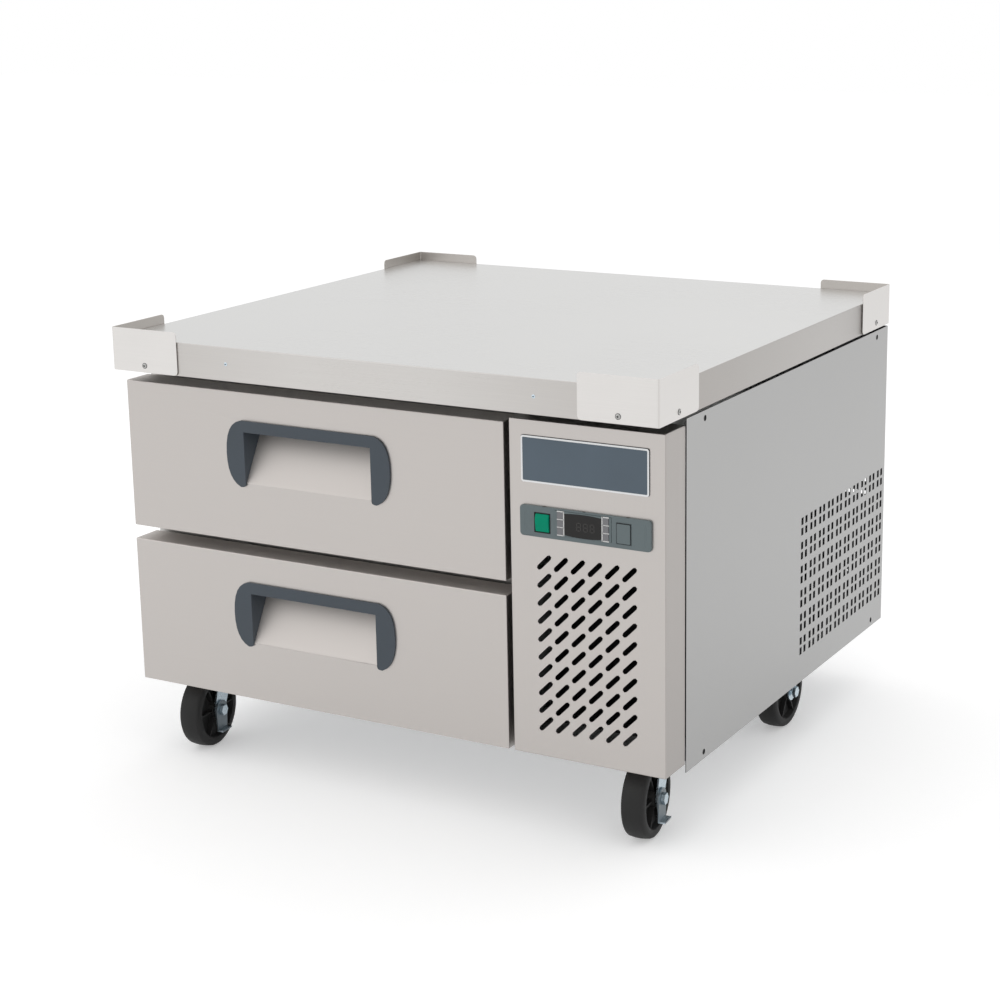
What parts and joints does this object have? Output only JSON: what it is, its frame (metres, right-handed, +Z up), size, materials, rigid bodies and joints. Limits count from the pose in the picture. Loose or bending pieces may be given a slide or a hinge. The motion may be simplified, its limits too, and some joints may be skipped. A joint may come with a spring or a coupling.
{
  "type": "refrigerated chef base",
  "caption": "Low refrigerated equipment stand on casters: insulated drawers at the left, cooling machine behind a slotted fascia at the right, worktop with raised corner guards.",
  "frame": {"origin": "on the floor under the middle of the worktop", "axes": "+Z up, the drawers and controls face -Y, the cooling machine is at +X"},
  "size_m": [0.925, 0.87, 0.691],
  "materials": {
    "satin_steel": "satin stainless steel sheet, grain along the longer side",
    "drawer_skin": "satin stainless skin over foam",
    "drawer_inside": "folded stainless sheet",
    "galvanised": "galvanised steel sheet",
    "foamed_liner": "foamed wall with a pale metal liner",
    "bezel_plastic": "blue-grey moulded plastic",
    "slate_plastic": "slate moulded plastic",
    "dark_plastic": "near-black plastic",
    "green_plastic": "translucent green rocker",
    "black_machine": "black enamel",
    "fins": "plain aluminium fins",
    "copper": "drawn copper tube",
    "seal": "black magnetic gasket",
    "wheel_rubber": "dark rubber",
    "zinc": "bright zinc plate"
  },
  "bodies": {
    "cabinet": {"worktop": "satin_steel", "corner_guard_front_left": "satin_steel", "corner_guard_front_right": "satin_steel", "corner_guard_rear_left": "satin_steel", "corner_guard_rear_right": "satin_steel", "left_side_panel": "satin_steel", "right_side_panel": "satin_steel", "face_frame": "satin_steel", "fascia_panel": "satin_steel", "rear_panel": "galvanised", "base_pan": "galvanised", "condenser_fan_shroud": "galvanised", "slide_rack_left": "galvanised", "slide_rack_right": "galvanised", "insulated_cabinet": "foamed_liner", "evaporator_cover": "foamed_liner", "control_bezel": "bezel_plastic", "blank_cover": "slate_plastic", "temperature_controller": "dark_plastic", "cord_gland": "dark_plastic", "compressor": "black_machine", "condenser_fan_motor": "black_machine", "condenser_coil": "fins", "evaporator_coil": "fins", "liquid_line_with_drier": "copper", "caster_plate_front_left": "zinc", "caster_plate_front_right": "zinc", "caster_plate_rear_left": "zinc", "caster_plate_rear_right": "zinc"},
    "drawer_lower": {"drawer_front_lower": "drawer_skin", "drawer_handle_lower": "slate_plastic", "drawer_gasket_lower": "seal", "drawer_pan_frame_lower": "drawer_inside"},
    "slide_lower_left": {"slide_member_lower_left": "galvanised"},
    "slide_lower_right": {"slide_member_lower_right": "galvanised"},
    "drawer_upper": {"drawer_front_upper": "drawer_skin", "drawer_handle_upper": "slate_plastic", "drawer_gasket_upper": "seal", "drawer_pan_frame_upper": "drawer_inside"},
    "slide_upper_left": {"slide_member_upper_left": "galvanised"},
    "slide_upper_right": {"slide_member_upper_right": "galvanised"},
    "rocker": {"rocker_switch": "green_plastic"},
    "key_left_bottom": {"controller_key_left_bottom": "bezel_plastic"},
    "key_left_middle": {"controller_key_left_middle": "bezel_plastic"},
    "key_left_top": {"controller_key_left_top": "bezel_plastic"},
    "key_right_bottom": {"controller_key_right_bottom": "bezel_plastic"},
    "key_right_middle": {"controller_key_right_middle": "bezel_plastic"},
    "key_right_top": {"controller_key_right_top": "bezel_plastic"},
    "condenser_fan_rotor": {"condenser_fan": "dark_plastic"},
    "evaporator_fan_rotor": {"evaporator_fan": "dark_plastic"},
    "swivel_front_left": {"caster_fork_front_left": "zinc"},
    "wheel_front_left": {"caster_wheel_front_left": "wheel_rubber"},
    "brake_front_left": {"brake_lever_front_left": "zinc"},
    "swivel_front_right": {"caster_fork_front_right": "zinc"},
    "wheel_front_right": {"caster_wheel_front_right": "wheel_rubber"},
    "brake_front_right": {"brake_lever_front_right": "zinc"},
    "swivel_rear_left": {"caster_fork_rear_left": "zinc"},
    "wheel_rear_left": {"caster_wheel_rear_left": "wheel_rubber"},
    "swivel_rear_right": {"caster_fork_rear_right": "zinc"},
    "wheel_rear_right": {"caster_wheel_rear_right": "wheel_rubber"}
  },
  "joints": [
    {"name": "drawer_lower_slide", "type": "slide", "parent": "cabinet", "child": "drawer_lower", "axis": [0, -1, 0], "range_m": [0, 0.5]},
    {"name": "slide_lower_left_travel", "type": "slide", "parent": "cabinet", "child": "slide_lower_left", "axis": [0, -1, 0], "range_m": [0, 0.25]},
    {"name": "slide_lower_right_travel", "type": "slide", "parent": "cabinet", "child": "slide_lower_right", "axis": [0, -1, 0], "range_m": [0, 0.25]},
    {"name": "drawer_upper_slide", "type": "slide", "parent": "cabinet", "child": "drawer_upper", "axis": [0, -1, 0], "range_m": [0, 0.5]},
    {"name": "slide_upper_left_travel", "type": "slide", "parent": "cabinet", "child": "slide_upper_left", "axis": [0, -1, 0], "range_m": [0, 0.25]},
    {"name": "slide_upper_right_travel", "type": "slide", "parent": "cabinet", "child": "slide_upper_right", "axis": [0, -1, 0], "range_m": [0, 0.25]},
    {"name": "rocker_tilt", "type": "hinge", "parent": "cabinet", "child": "rocker", "pos_m": [0.2725, -0.4113, 0.468], "axis": [1, 0, 0], "range_deg": [-7, 7]},
    {"name": "key_left_bottom_press", "type": "slide", "parent": "cabinet", "child": "key_left_bottom", "axis": [0, 1, 0], "range_m": [0, 0.0006], "stiffness_N_per_m": 300},
    {"name": "key_left_middle_press", "type": "slide", "parent": "cabinet", "child": "key_left_middle", "axis": [0, 1, 0], "range_m": [0, 0.0006], "stiffness_N_per_m": 300},
    {"name": "key_left_top_press", "type": "slide", "parent": "cabinet", "child": "key_left_top", "axis": [0, 1, 0], "range_m": [0, 0.0006], "stiffness_N_per_m": 300},
    {"name": "key_right_bottom_press", "type": "slide", "parent": "cabinet", "child": "key_right_bottom", "axis": [0, 1, 0], "range_m": [0, 0.0006], "stiffness_N_per_m": 300},
    {"name": "key_right_middle_press", "type": "slide", "parent": "cabinet", "child": "key_right_middle", "axis": [0, 1, 0], "range_m": [0, 0.0006], "stiffness_N_per_m": 300},
    {"name": "key_right_top_press", "type": "slide", "parent": "cabinet", "child": "key_right_top", "axis": [0, 1, 0], "range_m": [0, 0.0006], "stiffness_N_per_m": 300},
    {"name": "condenser_fan_spin", "type": "hinge", "parent": "cabinet", "child": "condenser_fan_rotor", "pos_m": [0.34, -0.2672, 0.286], "axis": [0, 1, 0], "continuous": true},
    {"name": "evaporator_fan_spin", "type": "hinge", "parent": "cabinet", "child": "evaporator_fan_rotor", "pos_m": [-0.125, 0.3214, 0.5117], "axis": [0, 1, 0], "continuous": true},
    {"name": "swivel_front_left_turn", "type": "hinge", "parent": "cabinet", "child": "swivel_front_left", "pos_m": [-0.3925, -0.315, 0.1391], "axis": [0, 0, 1], "continuous": true},
    {"name": "wheel_front_left_roll", "type": "hinge", "parent": "swivel_front_left", "child": "wheel_front_left", "pos_m": [-0.38957, -0.34285, 0.0605], "axis": [0.9945, 0.1045, 0], "continuous": true},
    {"name": "brake_front_left_press", "type": "hinge", "parent": "swivel_front_left", "child": "brake_front_left", "pos_m": [-0.3669, -0.34046, 0.0605], "axis": [0.9945, 0.1045, 0], "range_deg": [0, 20]},
    {"name": "swivel_front_right_turn", "type": "hinge", "parent": "cabinet", "child": "swivel_front_right", "pos_m": [0.3925, -0.315, 0.1391], "axis": [0, 0, 1], "continuous": true},
    {"name": "wheel_front_right_roll", "type": "hinge", "parent": "swivel_front_right", "child": "wheel_front_right", "pos_m": [0.39543, -0.34285, 0.0605], "axis": [0.9945, 0.1045, 0], "continuous": true},
    {"name": "brake_front_right_press", "type": "hinge", "parent": "swivel_front_right", "child": "brake_front_right", "pos_m": [0.4181, -0.34046, 0.0605], "axis": [0.9945, 0.1045, 0], "range_deg": [0, 20]},
    {"name": "swivel_rear_left_turn", "type": "hinge", "parent": "cabinet", "child": "swivel_rear_left", "pos_m": [-0.3925, 0.178, 0.1391], "axis": [0, 0, 1], "continuous": true},
    {"name": "wheel_rear_left_roll", "type": "hinge", "parent": "swivel_rear_left", "child": "wheel_rear_left", "pos_m": [-0.3925, 0.15, 0.0605], "axis": [1, 0, 0], "continuous": true},
    {"name": "swivel_rear_right_turn", "type": "hinge", "parent": "cabinet", "child": "swivel_rear_right", "pos_m": [0.3925, 0.178, 0.1391], "axis": [0, 0, 1], "continuous": true},
    {"name": "wheel_rear_right_roll", "type": "hinge", "parent": "swivel_rear_right", "child": "wheel_rear_right", "pos_m": [0.3925, 0.15, 0.0605], "axis": [1, 0, 0], "continuous": true}
  ],
  "couplings": [
    {"joint": "slide_lower_left_travel", "follows": "drawer_lower_slide", "ratio": 0.5},
    {"joint": "slide_lower_right_travel", "follows": "drawer_lower_slide", "ratio": 0.5},
    {"joint": "slide_upper_left_travel", "follows": "drawer_upper_slide", "ratio": 0.5},
    {"joint": "slide_upper_right_travel", "follows": "drawer_upper_slide", "ratio": 0.5}
  ]
}
